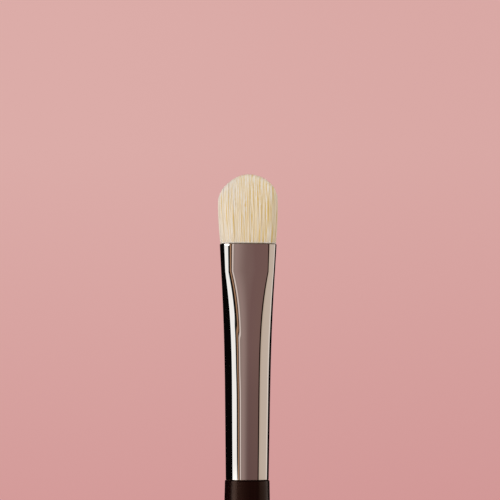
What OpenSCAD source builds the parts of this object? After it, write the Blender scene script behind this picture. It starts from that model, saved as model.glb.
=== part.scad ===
// Flat eyeshadow brush, in millimetres.
// It stands on its butt end with the tip up: +Z runs along its axis, and the wide
// faces of the tuft look to -Y and +Y. "Depth" is always measured down from the
// ferrule's rim, and "height" up from it.

/* [Tuft] */
// Length of the hair above the ferrule's rim
hair_len = 11.6; // [9.6:0.1:13]
// Width of the tuft at its widest
belly_w = 10; // [9.6:0.1:10.6]
// Thickness of the tuft at its widest
belly_t = 5.9; // [5.6:0.1:6.6]
// Height of the widest place
belly_h = 6.3; // [5:0.1:7.2]
// Height at which the hairs of the two narrow edges end
shoulder_h = 7; // [6:0.1:8]
// Roundness of the tip's outline, where 2 is an ellipse
tip_roundness = 1.9; // [1.7:0.05:2.3]
// How much shorter the front and back hairs are than the middle ones
wedge_drop = 3; // [2:0.1:3.6]
// Thickness that the bundle draws in to at its tip
tip_t = 1.8; // [1.2:0.1:3]
// Share of its width that the bundle loses from its widest place to its tip
tip_pull = 0.05; // [0:0.01:0.1]
// How far the tuft leans to the left at its widest
belly_lean = 0.15; // [0:0.05:0.25]
// Strands from left to right
strand_columns = 24; // [21:1:26]
// Strands from front to back
strand_rows = 16; // [15:1:17]
// Length of the hair root inside the ferrule
root_len = 9; // [8.2:0.1:11]
// How far below the lip's rounding the root is bonded into one block
bond_drop = 0.05; // [0.02:0.01:0.08]

/* [Binding thread] */
// Diameter of the thread
thread_d = 0.3; // [0.2:0.02:0.36]
// Turns of thread round the root
thread_turns = 6; // [3:1:7]
// Distance from the root's foot up to the lowest turn
thread_foot = 1.6; // [1:0.1:2]

/* [Root resin] */
// Length of the resin plug under the root
resin_len = 3.5; // [2:0.1:5]

/* [Ferrule] */
// Length of the ferrule
ferrule_len = 39.2; // [36:0.1:44]
// Outer width of the pressed mouth
mouth_w = 9.53; // [9.3:0.01:9.8]
// Outer thickness of the pressed mouth
mouth_t = 6; // [5.6:0.05:6.6]
// Diameter that the tube had at its mouth before it was pressed
mouth_round_d = 8.25; // [8:0.05:8.5]
// Outer diameter at the lower end
lower_d = 7.15; // [7:0.05:7.4]
// Length of the flat land that the press leaves below the rim
land_len = 4.75; // [4:0.05:5.4]
// Outer width at the lower edge of the land
land_w = 9; // [8.8:0.05:9.3]
// Length over which the section turns from the land back to round
blend_len = 21.3; // [16:0.1:26]
// Squareness of the section at the rim, where 2 is an ellipse
mouth_squareness = 2.4; // [2.2:0.05:2.6]
// Squareness of the section at the lower edge of the land
land_squareness = 2.7; // [2.5:0.05:3]
// Wall thickness
wall = 0.3; // [0.24:0.01:0.36]

/* [Handle] */
// Length of the handle below the ferrule
handle_len = 119.5; // [105:0.5:135]
// Diameter right under the ferrule
neck_d = 7.43; // [7.2:0.01:7.8]
// Radius of the shoulder's rounded edge
shoulder_r = 0.25; // [0.1:0.05:0.35]
// Diameter of the belly, where fingers hold it
grip_d = 8.5; // [8:0.05:9.2]
// Length of the belly's cylindrical stretch
grip_len = 10; // [6:0.5:14]
// Distance from the ferrule down to that stretch
grip_drop = 39.5; // [30:0.5:48]
// Diameter where the rounded butt begins
butt_d = 4.4; // [3.8:0.1:5.2]
// Height of the rounded butt
butt_h = 1.8; // [1.2:0.1:2.4]
// Diameter of the flat on the butt
butt_flat_d = 2; // [1.4:0.1:2.6]
// Length of the tenon inside the ferrule
tenon_len = 15; // [10:0.5:18]
// Thickness of the glue at the tenon's foot
glue_t = 0.1; // [0.06:0.01:0.2]

/* [Fits] */
// Gap between pieces that lie side by side inside the ferrule
fit_gap = 0.03; // [0.02:0.005:0.04]
// Gap between pieces that are stacked along the axis
seat_gap = 0.03; // [0.02:0.01:0.05]

/* [Hidden] */

rim_z = handle_len + ferrule_len;
lip_r = wall / 2;

// How fast the pressed shape dies away below the land: its width, thickness and squareness
width_fade = 2.4;
thickness_fade = 2.9;
squareness_fade = 6;

// Segments round the ferrule and the plug, round the thread, and along each curve
ferrule_sides = 64;
thread_sides = 32;
blend_steps = 8;
lip_steps = 6;
curve_steps = 6;
$fn = 64;

// The tuft's outer face just above the rim, and how it draws in towards the tip
rim_show = 0.1;
flare_h = 0.5;
tip_draw_power = 1.4;
// A strand's width as a share of its cell above the rim and at its bend, and where it bends
strand_foot_share = 0.94;
strand_bend_share = 0.78;
strand_bend_at = 0.82;
// How far the rows and columns of strands bow inside the bundle, so that no gap runs through
row_bow = 0.07;
bow_waves = 1.5;
// How much the strands' ends vary, up and down and sideways
length_jitter = 0.22;
side_jitter = 0.05;
jitter_seed = 41;
jitters = rands(-1, 1, 3 * strand_columns * strand_rows, jitter_seed);

thread_len = thread_turns * thread_d;
thread_depth = root_len - thread_foot - thread_len;
resin_depth = root_len + seat_gap;
tenon_d = lower_d - 2 * wall - 2 * fit_gap - 2 * glue_t;
tenon_bevel = 0.4;

function mix(a, b, share) = a + (b - a) * share;

// The ferrule's outer half width, half thickness and squareness at a depth
function tube_r(depth) = mix(mouth_round_d, lower_d, depth / ferrule_len) / 2;
function left_of_press(depth) = max(0, 1 - (depth - land_len) / blend_len);
function half_w(depth) = depth <= land_len
    ? mix(mouth_w, land_w, depth / land_len) / 2
    : tube_r(depth) + (land_w / 2 - tube_r(land_len)) * pow(left_of_press(depth), width_fade);
function half_t(depth) = depth <= land_len
    ? mouth_t / 2
    : tube_r(depth) - (tube_r(land_len) - mouth_t / 2) * pow(left_of_press(depth), thickness_fade);
function squareness(depth) = depth <= land_len
    ? mix(mouth_squareness, land_squareness, depth / land_len)
    : 2 + (land_squareness - 2) * pow(left_of_press(depth), squareness_fade);

function signed_pow(value, power) = sign(value) * pow(abs(value), power);

// One ring of the pressed tube's section, drawn in by an inset
function ring(depth, inset, sides) = [
    for (i = [0:sides - 1]) let (a = 360 * i / sides, power = 2 / squareness(depth))
        [(half_w(depth) - inset) * signed_pow(cos(a), power),
         (half_t(depth) - inset) * signed_pow(sin(a), power),
         rim_z - depth]
];

function flat_list(lists) = [for (list = lists) for (item = list) item];

// Triangles between two stacked rings of point numbers, the lower one first
function strip(low, high) = flat_list([
    for (i = [0:len(low) - 1]) let (n = (i + 1) % len(low))
        [[low[i], high[i], high[n]], [low[i], high[n], low[n]]]
]);

function numbers(first, count) = [for (i = [0:count - 1]) first + i];

// A body swept through rings. It closes on its first ring, or has flat ends.
module loft(rings, closed) {
    count = len(rings);
    sides = len(rings[0]);
    last = count * sides;
    loops = [for (k = [0:count - 1]) numbers(k * sides, sides)];
    walls = [for (k = [0:count - 2]) strip(loops[k], loops[k + 1])];
    ends = closed
        ? strip(loops[count - 1], loops[0])
        : flat_list([for (i = [0:sides - 1]) let (n = (i + 1) % sides)
              [[last, loops[0][i], loops[0][n]],
               [last + 1, loops[count - 1][n], loops[count - 1][i]]]]);
    centres = closed ? [] : [[0, 0, rings[0][0].z], [0, 0, rings[count - 1][0].z]];
    polyhedron(concat(flat_list(rings), centres), concat(flat_list(walls), ends));
}

// Depths at which the tube's wall has a ring, from its lower end up to below the lip
function wall_depths() = concat(
    [ferrule_len],
    [for (k = [blend_steps:-1:0]) land_len + blend_len * k / blend_steps],
    [lip_r]
);

module ferrule() {
    outer = [for (d = wall_depths()) ring(d, 0, ferrule_sides)];
    lip = [for (k = [1:lip_steps - 1]) let (a = 180 * k / lip_steps)
        ring(lip_r * (1 - sin(a)), lip_r * (1 - cos(a)), ferrule_sides)];
    depths = wall_depths();
    inner = [for (k = [len(depths) - 1:-1:0]) ring(depths[k], wall, ferrule_sides)];
    color([0.62, 0.58, 0.56]) loft(concat(outer, lip, inner), true);
}

// The plug of resin fills the tube's section under the root
module root_resin() {
    plug_steps = 2;
    color([0.80, 0.62, 0.30]) loft(
        [for (k = [plug_steps:-1:0])
            ring(resin_depth + resin_len * k / plug_steps, wall + fit_gap, ferrule_sides)],
        false);
}

// A band of turns side by side: each turn is a ridge round the root's waist
module binding_thread() {
    outside = wall + fit_gap;
    ridges = [for (k = [2 * thread_turns:-1:0])
        [thread_depth + thread_d * k / 2, outside + (k % 2 == 0 ? thread_d / 3 : 0)]];
    inside = [for (depth = [thread_depth, thread_depth + thread_len]) [depth, outside + thread_d]];
    color([0.93, 0.90, 0.84]) loft(
        [for (place = concat(ridges, inside)) ring(place[0], place[1], thread_sides)], true);
}

// Half width and half thickness of the hair bundle at a height above the rim
function above_belly(h) = max(0, (h - belly_h) / (hair_len - belly_h));
function below_belly(h) = min(1, max(0, (h - flare_h) / (belly_h - flare_h)));
function hair_w(h) = mix(mouth_w / 2 - rim_show, belly_w / 2, sin(90 * below_belly(h)))
    * (1 - tip_pull * pow(above_belly(h), 2));
function hair_t(h) = mix(
    mix(mouth_t / 2 - rim_show, belly_t / 2, sin(90 * below_belly(h))),
    tip_t / 2, pow(above_belly(h), tip_draw_power));
function lean(h) = -belly_lean * min(1, max(0, h / belly_h));

// The bundle's cells are a square grid, drawn onto the section by rounding its corners
function corner_round(square) = 1 - pow(0.5, 2 / square);
function bow(across, along) = across + row_bow * (1 - across * across) * cos(180 * bow_waves * along);
function on_disc(u, v, k) = let (a = bow(u, v), b = bow(v, u))
    [a * sqrt(1 - k * b * b), b * sqrt(1 - k * a * a)];

function root_point(u, v, depth, inset) = let (c = on_disc(u, v, corner_round(squareness(depth))))
    [c.x * (half_w(depth) - inset), c.y * (half_t(depth) - inset), rim_z - depth];
function hair_point(u, v, h) = let (c = on_disc(u, v, corner_round(mouth_squareness)))
    [c.x * hair_w(h) + lean(h), c.y * hair_t(h), rim_z + h];

// Height at which a hair of the bundle ends
function tip_h(u, v) = let (
        c = on_disc(u, v, corner_round(mouth_squareness)),
        across = pow(1 - pow(min(1, abs(c.x)), tip_roundness), 1 / tip_roundness))
    mix(shoulder_h, hair_len, across) - wedge_drop * c.y * c.y * (1 - c.x * c.x);

function u_at(i) = 2 * i / strand_columns - 1;
function v_at(j) = 2 * j / strand_rows - 1;

// The grid's outer corners in turn, counter-clockwise from above
function grid_edge() = concat(
    [for (i = [0:strand_columns - 1]) [i, 0]],
    [for (j = [0:strand_rows - 1]) [strand_columns, j]],
    [for (i = [strand_columns:-1:1]) [i, strand_rows]],
    [for (j = [strand_rows:-1:1]) [0, j]]
);

// A strand's four corners at one height, drawn in towards the middle of its cell
function strand_ring(i, j, h, share) = let (middle = hair_point(u_at(i + 0.5), v_at(j + 0.5), h))
    [for (step = [[0, 0], [1, 0], [1, 1], [0, 1]])
        mix(middle, hair_point(u_at(i + step.x), v_at(j + step.y), h), share)];

// The nine points of a strand above the grid: its foot, its bend and its tip
function strand_points(i, j) = let (
        first = 3 * (j * strand_columns + i),
        u = u_at(i + 0.5), v = v_at(j + 0.5),
        top = tip_h(u, v) + length_jitter * (jitters[first] - 1) / 2,
        sideways = side_jitter * [jitters[first + 1], jitters[first + 2], 0])
    concat(
        strand_ring(i, j, flare_h, strand_foot_share),
        strand_ring(i, j, strand_bend_at * top, strand_bend_share),
        [hair_point(u, v, top) + sideways]
    );

// The tuft is one body: its strands grow from the cells of the bonded root's top face
module hair_tuft() {
    outside = wall + fit_gap;
    waist = outside + thread_d + fit_gap;
    edge = grid_edge();
    sides = len(edge);
    places = [
        [root_len, outside],
        [thread_depth + thread_len + seat_gap, outside],
        [thread_depth + thread_len + seat_gap, waist],
        [thread_depth - seat_gap, waist],
        [thread_depth - seat_gap, outside],
        [land_len, outside]
    ];
    root = [for (place = places) for (e = edge)
        root_point(u_at(e.x), v_at(e.y), place[0], place[1])];
    grid = [for (j = [0:strand_rows]) for (i = [0:strand_columns])
        root_point(u_at(i), v_at(j), lip_r + bond_drop, outside + fit_gap)];
    strands = flat_list([for (j = [0:strand_rows - 1]) for (i = [0:strand_columns - 1])
        strand_points(i, j)]);

    grid_first = len(root);
    strand_first = grid_first + len(grid);
    foot = strand_first + len(strands);
    function grid_number(i, j) = grid_first + j * (strand_columns + 1) + i;

    loops = concat(
        [for (k = [0:len(places) - 1]) numbers(k * sides, sides)],
        [[for (e = edge) grid_number(e.x, e.y)]]
    );
    root_walls = flat_list([for (k = [0:len(places) - 1]) strip(loops[k], loops[k + 1])]);
    root_foot = [for (i = [0:sides - 1]) [foot, loops[0][i], loops[0][(i + 1) % sides]]];
    strand_walls = flat_list([
        for (j = [0:strand_rows - 1]) for (i = [0:strand_columns - 1])
            let (
                low = [grid_number(i, j), grid_number(i + 1, j),
                       grid_number(i + 1, j + 1), grid_number(i, j + 1)],
                first = strand_first + 9 * (j * strand_columns + i),
                foot_ring = numbers(first, 4),
                bend_ring = numbers(first + 4, 4))
            concat(
                strip(low, foot_ring),
                strip(foot_ring, bend_ring),
                [for (s = [0:3]) [bend_ring[s], first + 8, bend_ring[(s + 1) % 4]]]
            )
    ]);
    color([0.90, 0.83, 0.70]) polyhedron(
        concat(root, grid, strands, [[0, 0, rim_z - root_len]]),
        concat(root_walls, root_foot, strand_walls));
}

// Glue fills the tapered gap between the straight tenon and the widening tube
module tenon_adhesive() {
    inner_r = tenon_d / 2 + fit_gap;
    top = tenon_len - tenon_bevel;
    function outer_r(up) = tube_r(ferrule_len - up) - wall - fit_gap;
    color([0.86, 0.80, 0.62]) translate([0, 0, handle_len]) rotate_extrude()
        polygon([[inner_r, seat_gap], [outer_r(seat_gap), seat_gap],
                 [outer_r(top), top], [inner_r, top]]);
}

// A quarter wave from a first radius to a second, flat at the second
function swell(r_a, z_a, r_b, z_b) = [for (k = [0:curve_steps])
    [mix(r_a, r_b, sin(90 * k / curve_steps)), mix(z_a, z_b, k / curve_steps)]];

// The handle's profile, from the butt's flat up to the tenon's end
module handle() {
    grip_top = handle_len - grip_drop;
    grip_bottom = grip_top - grip_len;
    butt_steps = 4;
    butt = [for (k = [0:butt_steps]) let (a = 90 * k / butt_steps)
        [mix(butt_flat_d, butt_d, sin(a)) / 2, butt_h * (1 - cos(a))]];
    lower = swell(butt_d / 2, butt_h, grip_d / 2, grip_bottom);
    shoulder_z = handle_len - seat_gap - shoulder_r;
    upper_down = swell(neck_d / 2, shoulder_z, grip_d / 2, grip_top);
    upper = [for (k = [curve_steps:-1:0]) upper_down[k]];
    shoulder_steps = 3;
    shoulder = [for (k = [1:shoulder_steps]) let (a = 90 * k / shoulder_steps)
        [neck_d / 2 - shoulder_r * (1 - cos(a)), shoulder_z + shoulder_r * sin(a)]];
    tenon_r = tenon_d / 2;
    tenon_top = handle_len + tenon_len;
    tenon = [[tenon_r, handle_len - seat_gap], [tenon_r, tenon_top - tenon_bevel],
             [tenon_r - tenon_bevel, tenon_top], [0, tenon_top]];
    color([0.13, 0.07, 0.06]) rotate_extrude() polygon(concat(
        [[0, 0]], butt, [for (k = [1:curve_steps]) lower[k]],
        upper, shoulder, tenon));
}

hair_tuft();
binding_thread();
root_resin();
ferrule();
tenon_adhesive();
handle();
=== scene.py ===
"""Flat eyeshadow brush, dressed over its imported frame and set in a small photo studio.

Everything is in metres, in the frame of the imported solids: the brush stands on its butt at
the origin, its tip points up, and its wide faces look to -Y and +Y. Depths are measured down
from the ferrule's rim, the hair's own heights up from the rim, and other heights up from the
butt.
"""

from __future__ import annotations

import logging
import math
from dataclasses import dataclass, fields
from enum import Enum
from typing import Mapping, Optional, Sequence, Union

import bmesh
import bpy
import numpy as np
from bpy.types import ColorRamp, Material, Mesh, Node, NodeSocket, NodeTree, Object
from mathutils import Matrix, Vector

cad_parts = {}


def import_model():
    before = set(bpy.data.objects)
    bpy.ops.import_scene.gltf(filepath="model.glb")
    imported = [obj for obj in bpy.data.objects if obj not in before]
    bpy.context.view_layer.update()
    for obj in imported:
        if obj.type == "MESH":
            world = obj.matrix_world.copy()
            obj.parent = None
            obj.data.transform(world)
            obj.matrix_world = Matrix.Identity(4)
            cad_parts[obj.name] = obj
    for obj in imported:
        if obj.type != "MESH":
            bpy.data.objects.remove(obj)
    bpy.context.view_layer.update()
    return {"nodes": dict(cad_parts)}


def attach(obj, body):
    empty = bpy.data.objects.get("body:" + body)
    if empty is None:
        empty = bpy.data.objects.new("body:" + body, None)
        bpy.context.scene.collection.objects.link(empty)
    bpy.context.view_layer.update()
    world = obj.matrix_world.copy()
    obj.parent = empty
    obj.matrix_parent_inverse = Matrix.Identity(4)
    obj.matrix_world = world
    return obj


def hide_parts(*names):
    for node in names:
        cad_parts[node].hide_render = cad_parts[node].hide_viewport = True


LOG = logging.getLogger("brush")
MM = 0.001
TINY = 1e-6
FERRULE_FOOT = 119.5 * MM
FERRULE_RIM = 158.7 * MM
NODES_A_ROW = 9
NODE_WIDTH = 220
NODE_HEIGHT = 260

Colour = tuple[float, float, float]
Place = tuple[float, float, float]
Pair = tuple[float, float]
Span = tuple[float, float, float, float]
Array = np.ndarray
Value = Union[float, Sequence[float], NodeSocket]
Sockets = Mapping[str, NodeSocket]


# Small sums


def mix(a: float, b: float, share: float) -> float:
    """Return the value that lies the given share of the way from a to b."""
    return a + (b - a) * share


def ease(x: Array) -> Array:
    """Return x held between 0 and 1 and eased at both ends."""
    x = np.clip(x, 0.0, 1.0)
    return x * x * (3 - 2 * x)


def shown(red: int, green: int, blue: int) -> Colour:
    """Turn a colour as it shows on screen, 0 to 255, into linear light.

    Args:
        red: Red as shown.
        green: Green as shown.
        blue: Blue as shown.

    Returns:
        The colour in linear light, 0 to 1.
    """
    parts = [c / 255 for c in (red, green, blue)]
    linear = [c / 12.92 if c <= 0.04045 else ((c + 0.055) / 1.055) ** 2.4 for c in parts]
    return (linear[0], linear[1], linear[2])


# Shader tools


class NodeSheet:
    """Places and joins the nodes of one node tree."""

    def __init__(self, tree: NodeTree) -> None:
        """Take over a tree and empty it."""
        self.tree = tree
        self.tree.nodes.clear()

    def add(self, kind: str, values: Optional[dict] = None, **settings: object) -> Node:
        """Add a node, set it up and feed it.

        Args:
            kind: The node's type without its ShaderNode prefix, or a group's node type.
            values: What goes into each input, by name or number: a value or another socket.
            **settings: Properties of the node itself.

        Returns:
            The new node.
        """
        prefix = "" if kind.startswith("NodeGroup") else "ShaderNode"
        node = self.tree.nodes.new(prefix + kind)
        row, column = divmod(len(self.tree.nodes), NODES_A_ROW)
        node.location = (NODE_WIDTH * column, -NODE_HEIGHT * row)
        for name, setting in settings.items():
            setattr(node, name, setting)
        self.feed(node, values or {})
        return node

    def feed(self, node: Node, values: dict) -> None:
        """Link sockets into a node's inputs, or set the inputs to plain values.

        Args:
            node: The node.
            values: What goes into each input, by name or number.
        """
        for name, value in values.items():
            socket = node.inputs[name]
            if isinstance(value, NodeSocket):
                self.tree.links.new(value, socket)
            elif socket.type == "RGBA" and len(value) == 3:
                socket.default_value = (*value, 1.0)
            else:
                socket.default_value = value

    def math(self, operation: str, a: Value, b: Value = 0.0, c: Value = 0.0) -> NodeSocket:
        """Add a sum of up to three numbers and return its result."""
        return self.add("Math", {0: a, 1: b, 2: c}, operation=operation).outputs[0]

    def times(self, a: Value, b: Value) -> NodeSocket:
        """Multiply two numbers."""
        return self.math("MULTIPLY", a, b)

    def scaled(self, vector: Value, by: Value) -> NodeSocket:
        """Return a vector multiplied part by part."""
        return self.add("VectorMath", {0: vector, 1: by}, operation="MULTIPLY").outputs[0]

    def stack(self, base: Value, *layers: tuple[Value, float]) -> NodeSocket:
        """Add layers to a base, each times its weight.

        Args:
            base: What lies under the layers.
            *layers: Each layer and its weight.

        Returns:
            The sum.
        """
        for layer, weight in layers:
            base = self.math("MULTIPLY_ADD", layer, weight, base)
        return base

    def range(self, value: Value, a: Value, b: Value, low: Value = 0.0, high: Value = 1.0,
              smooth: bool = True) -> NodeSocket:
        """Map a number from one range to another.

        Args:
            value: The number.
            a: Where the first range starts.
            b: Where the first range ends.
            low: What a becomes.
            high: What b becomes.
            smooth: Whether the step between them is eased.

        Returns:
            The mapped number.
        """
        kind = "SMOOTHSTEP" if smooth else "LINEAR"
        node = self.add("MapRange", {"Value": value, "From Min": a, "From Max": b,
                                     "To Min": low, "To Max": high}, interpolation_type=kind)
        return node.outputs[0]

    def window(self, value: Value, span: Span) -> NodeSocket:
        """Return 1 inside a span with soft ends and 0 outside it."""
        shut, open_from, open_to, shut_again = span
        return self.times(self.range(value, shut, open_from), self.range(value, shut_again, open_to))

    def noise(self, vector: Value, scale: Value, detail: float = 2.0) -> NodeSocket:
        """Return a smooth noise between about 0.25 and 0.75."""
        return self.add("TexNoise", {"Vector": vector, "Scale": scale, "Detail": detail}).outputs["Fac"]

    def blend(self, share: Value, a: Value, b: Value) -> NodeSocket:
        """Mix two colours, with the given share of the second."""
        return self.add("Mix", {0: share, 6: a, 7: b}, data_type="RGBA").outputs[2]


EFFECT_GROUPS: dict[type, NodeTree] = {}
NOISE_MIDDLE = 0.5
GRAIN_DETAIL = 4.0
SMUDGE_DETAIL = 3.0
SMUDGE_FINER = 7.0
SMUDGE_FINE_SHARE = 0.25
SMUDGE_SOFTNESS = 0.3
WEAR_PER_METRE = 2600.0
WEAR_DETAIL = 4.0
WEAR_EDGE: Pair = (1.0, 0.35)
SPECK_EDGE: Pair = (0.22, 0.1)


@dataclass(frozen=True)
class Effect:
    """A surface effect that several finishes share.

    Each kind of effect is one node group, made once. Its fields go into the group.
    """

    def put(self, sheet: NodeSheet, own: NodeSocket) -> NodeSocket:
        """Put the effect into a material.

        Args:
            sheet: The material's nodes.
            own: The piece's own coordinates.

        Returns:
            The effect's mask.
        """
        kind = type(self)
        if kind not in EFFECT_GROUPS:
            EFFECT_GROUPS[kind] = self._make_group()
        values = {item.name: getattr(self, item.name) for item in fields(self)}
        node = sheet.add("Group", {"place": own, **values}, node_tree=EFFECT_GROUPS[kind])
        return node.outputs[0]

    def _make_group(self) -> NodeTree:
        """Make the node group: a place and the fields go in, and a mask comes out.

        Returns:
            The group.
        """
        tree = bpy.data.node_groups.new(type(self).__name__.lower(), "ShaderNodeTree")
        tree.interface.new_socket("place", in_out="INPUT", socket_type="NodeSocketVector")
        for item in fields(self):
            tree.interface.new_socket(item.name, in_out="INPUT", socket_type="NodeSocketFloat")
        tree.interface.new_socket("mask", in_out="OUTPUT", socket_type="NodeSocketFloat")
        sheet = NodeSheet(tree)
        mask = self.draw(sheet, sheet.add("NodeGroupInput").outputs)
        sheet.add("NodeGroupOutput", {0: mask})
        return tree

    def draw(self, sheet: NodeSheet, given: Sockets) -> NodeSocket:
        """Draw the effect's mask, which each kind does in its own way."""
        raise NotImplementedError


@dataclass(frozen=True)
class Grain(Effect):
    """Long streaks that run along the brush: wood grain, drawn metal, hair."""

    per_metre: float
    stretch: float
    contrast: float

    def draw(self, sheet: NodeSheet, given: Sockets) -> NodeSocket:
        """Draw the streaks from a noise that is stretched along the brush.

        Args:
            sheet: The group's nodes.
            given: What goes into the group, by name.

        Returns:
            The mask, 0 to 1.
        """
        per_metre = given["per_metre"]
        along = sheet.math("DIVIDE", per_metre, given["stretch"])
        scale = sheet.add("CombineXYZ", {0: per_metre, 1: per_metre, 2: along}).outputs[0]
        streaks = sheet.noise(sheet.scaled(given["place"], scale), 1.0, GRAIN_DETAIL)
        centred = sheet.math("SUBTRACT", streaks, NOISE_MIDDLE)
        spread = sheet.math("MULTIPLY_ADD", centred, given["contrast"], NOISE_MIDDLE)
        return sheet.add("Clamp", {0: spread}).outputs[0]


@dataclass(frozen=True)
class Smudges(Effect):
    """Soft blotches where a surface was touched, with a share of it left bare."""

    per_metre: float
    bare: float

    def draw(self, sheet: NodeSheet, given: Sockets) -> NodeSocket:
        """Draw the blotches from a wide noise with some of a finer one.

        Args:
            sheet: The group's nodes.
            given: What goes into the group, by name.

        Returns:
            The mask, 0 to 1.
        """
        place, per_metre, bare = given["place"], given["per_metre"], given["bare"]
        fine = sheet.noise(place, sheet.times(per_metre, SMUDGE_FINER))
        wide = sheet.noise(place, per_metre, SMUDGE_DETAIL)
        both = sheet.stack(wide, (fine, SMUDGE_FINE_SHARE))
        return sheet.range(both, bare, sheet.math("ADD", bare, SMUDGE_SOFTNESS))


@dataclass(frozen=True)
class EdgeWear(Effect):
    """A ragged rub round an edge that lies at one height above the butt."""

    height: float
    reach: float
    raggedness: float

    def draw(self, sheet: NodeSheet, given: Sockets) -> NodeSocket:
        """Draw the rub from how far the edge is, made ragged by a noise.

        Args:
            sheet: The group's nodes.
            given: What goes into the group, by name.

        Returns:
            The mask, 0 to 1.
        """
        level = sheet.add("SeparateXYZ", {0: given["place"]}).outputs["Z"]
        away = sheet.math("ABSOLUTE", sheet.math("SUBTRACT", level, given["height"]))
        share = sheet.math("DIVIDE", away, given["reach"])
        rough = sheet.noise(given["place"], WEAR_PER_METRE, WEAR_DETAIL)
        rough = sheet.math("SUBTRACT", rough, NOISE_MIDDLE)
        ragged = sheet.math("MULTIPLY_ADD", rough, given["raggedness"], share)
        return sheet.range(ragged, *WEAR_EDGE)


@dataclass(frozen=True)
class Dust(Effect):
    """Tiny specks, one in a share of the cells of a fine mesh of cells."""

    per_metre: float
    share: float

    def draw(self, sheet: NodeSheet, given: Sockets) -> NodeSocket:
        """Draw a speck in the middle of each chosen cell.

        Args:
            sheet: The group's nodes.
            given: What goes into the group, by name.

        Returns:
            The mask, 0 to 1.
        """
        cells = sheet.add("TexVoronoi", {"Vector": given["place"], "Scale": given["per_metre"]})
        pick = sheet.add("SeparateColor", {0: cells.outputs["Color"]}).outputs[0]
        chosen = sheet.math("LESS_THAN", pick, given["share"])
        return sheet.times(chosen, sheet.range(cells.outputs["Distance"], *SPECK_EDGE))


# Finishes


@dataclass(frozen=True)
class Finish:
    """What every finish has: a name, a main colour, a roughness and a relief.

    The relief is how strongly a height shows and how high a height of 1 is, in metres.
    """

    name: str
    colour: Colour
    roughness: float
    relief: Pair


class Paint:
    """A material in the making: its nodes, its shader and the piece's own coordinates."""

    def __init__(self, finish: Finish) -> None:
        """Open a new material.

        Args:
            finish: The finish that it is for.
        """
        self.relief = finish.relief
        self.material = bpy.data.materials.new(finish.name)
        self.material.use_nodes = True
        self.material.diffuse_color = (*finish.colour, 1.0)
        self.sheet = NodeSheet(self.material.node_tree)
        self.shader = self.sheet.add("BsdfPrincipled", {"Base Color": finish.colour,
                                                        "Roughness": finish.roughness})
        self.sheet.add("OutputMaterial", {"Surface": self.shader.outputs[0]})
        self.own = self.sheet.add("TexCoord").outputs["Object"]

    def effect(self, effect: Effect) -> NodeSocket:
        """Put a shared effect on the piece's own coordinates and return its mask."""
        return effect.put(self.sheet, self.own)

    def close(self, values: dict[str, Value], height: Value) -> Material:
        """Feed the shader and raise the surface.

        Args:
            values: What goes into the shader, by name.
            height: The surface's height, 0 to 1.

        Returns:
            The finished material.
        """
        strength, depth = self.relief
        bump = self.sheet.add("Bump", {"Height": height, "Strength": strength, "Distance": depth})
        self.sheet.feed(self.shader, {**values, "Normal": bump.outputs[0]})
        return self.material


@dataclass(frozen=True)
class PolishedNickel(Finish):
    """Bright plated metal with faint drawing lines, fingermarks and rubbed edges."""

    name: str = "polished_nickel"
    colour: Colour = (0.70, 0.67, 0.65)
    roughness: float = 0.022
    relief: Pair = (0.02, 0.002 * MM)
    lines: Grain = Grain(per_metre=9000.0, stretch=60.0, contrast=2.0)
    marks: Smudges = Smudges(per_metre=150.0, bare=0.62)
    specks: Dust = Dust(per_metre=2200.0, share=0.008)
    rim_wear: EdgeWear = EdgeWear(height=FERRULE_RIM, reach=0.22 * MM, raggedness=1.2)
    foot_wear: EdgeWear = EdgeWear(height=FERRULE_FOOT, reach=0.22 * MM, raggedness=1.2)
    worn_colour: Colour = (0.78, 0.72, 0.66)
    worn_share: float = 0.5
    mark_gloss: float = 0.02
    worn_gloss: float = 0.08
    speck_gloss: float = 0.05

    def material(self) -> Material:
        """Build the plated metal.

        Returns:
            The material.
        """
        paint = Paint(self)
        sheet = paint.sheet
        marks, specks = paint.effect(self.marks), paint.effect(self.specks)
        rub = sheet.math("MAXIMUM", paint.effect(self.rim_wear), paint.effect(self.foot_wear))
        tint = sheet.blend(sheet.times(rub, self.worn_share), self.colour, self.worn_colour)
        gloss = sheet.stack(self.roughness, (marks, self.mark_gloss), (rub, self.worn_gloss),
                            (specks, self.speck_gloss))
        values = {"Metallic": 1.0, "Base Color": tint, "Roughness": gloss}
        return paint.close(values, paint.effect(self.lines))


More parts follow.
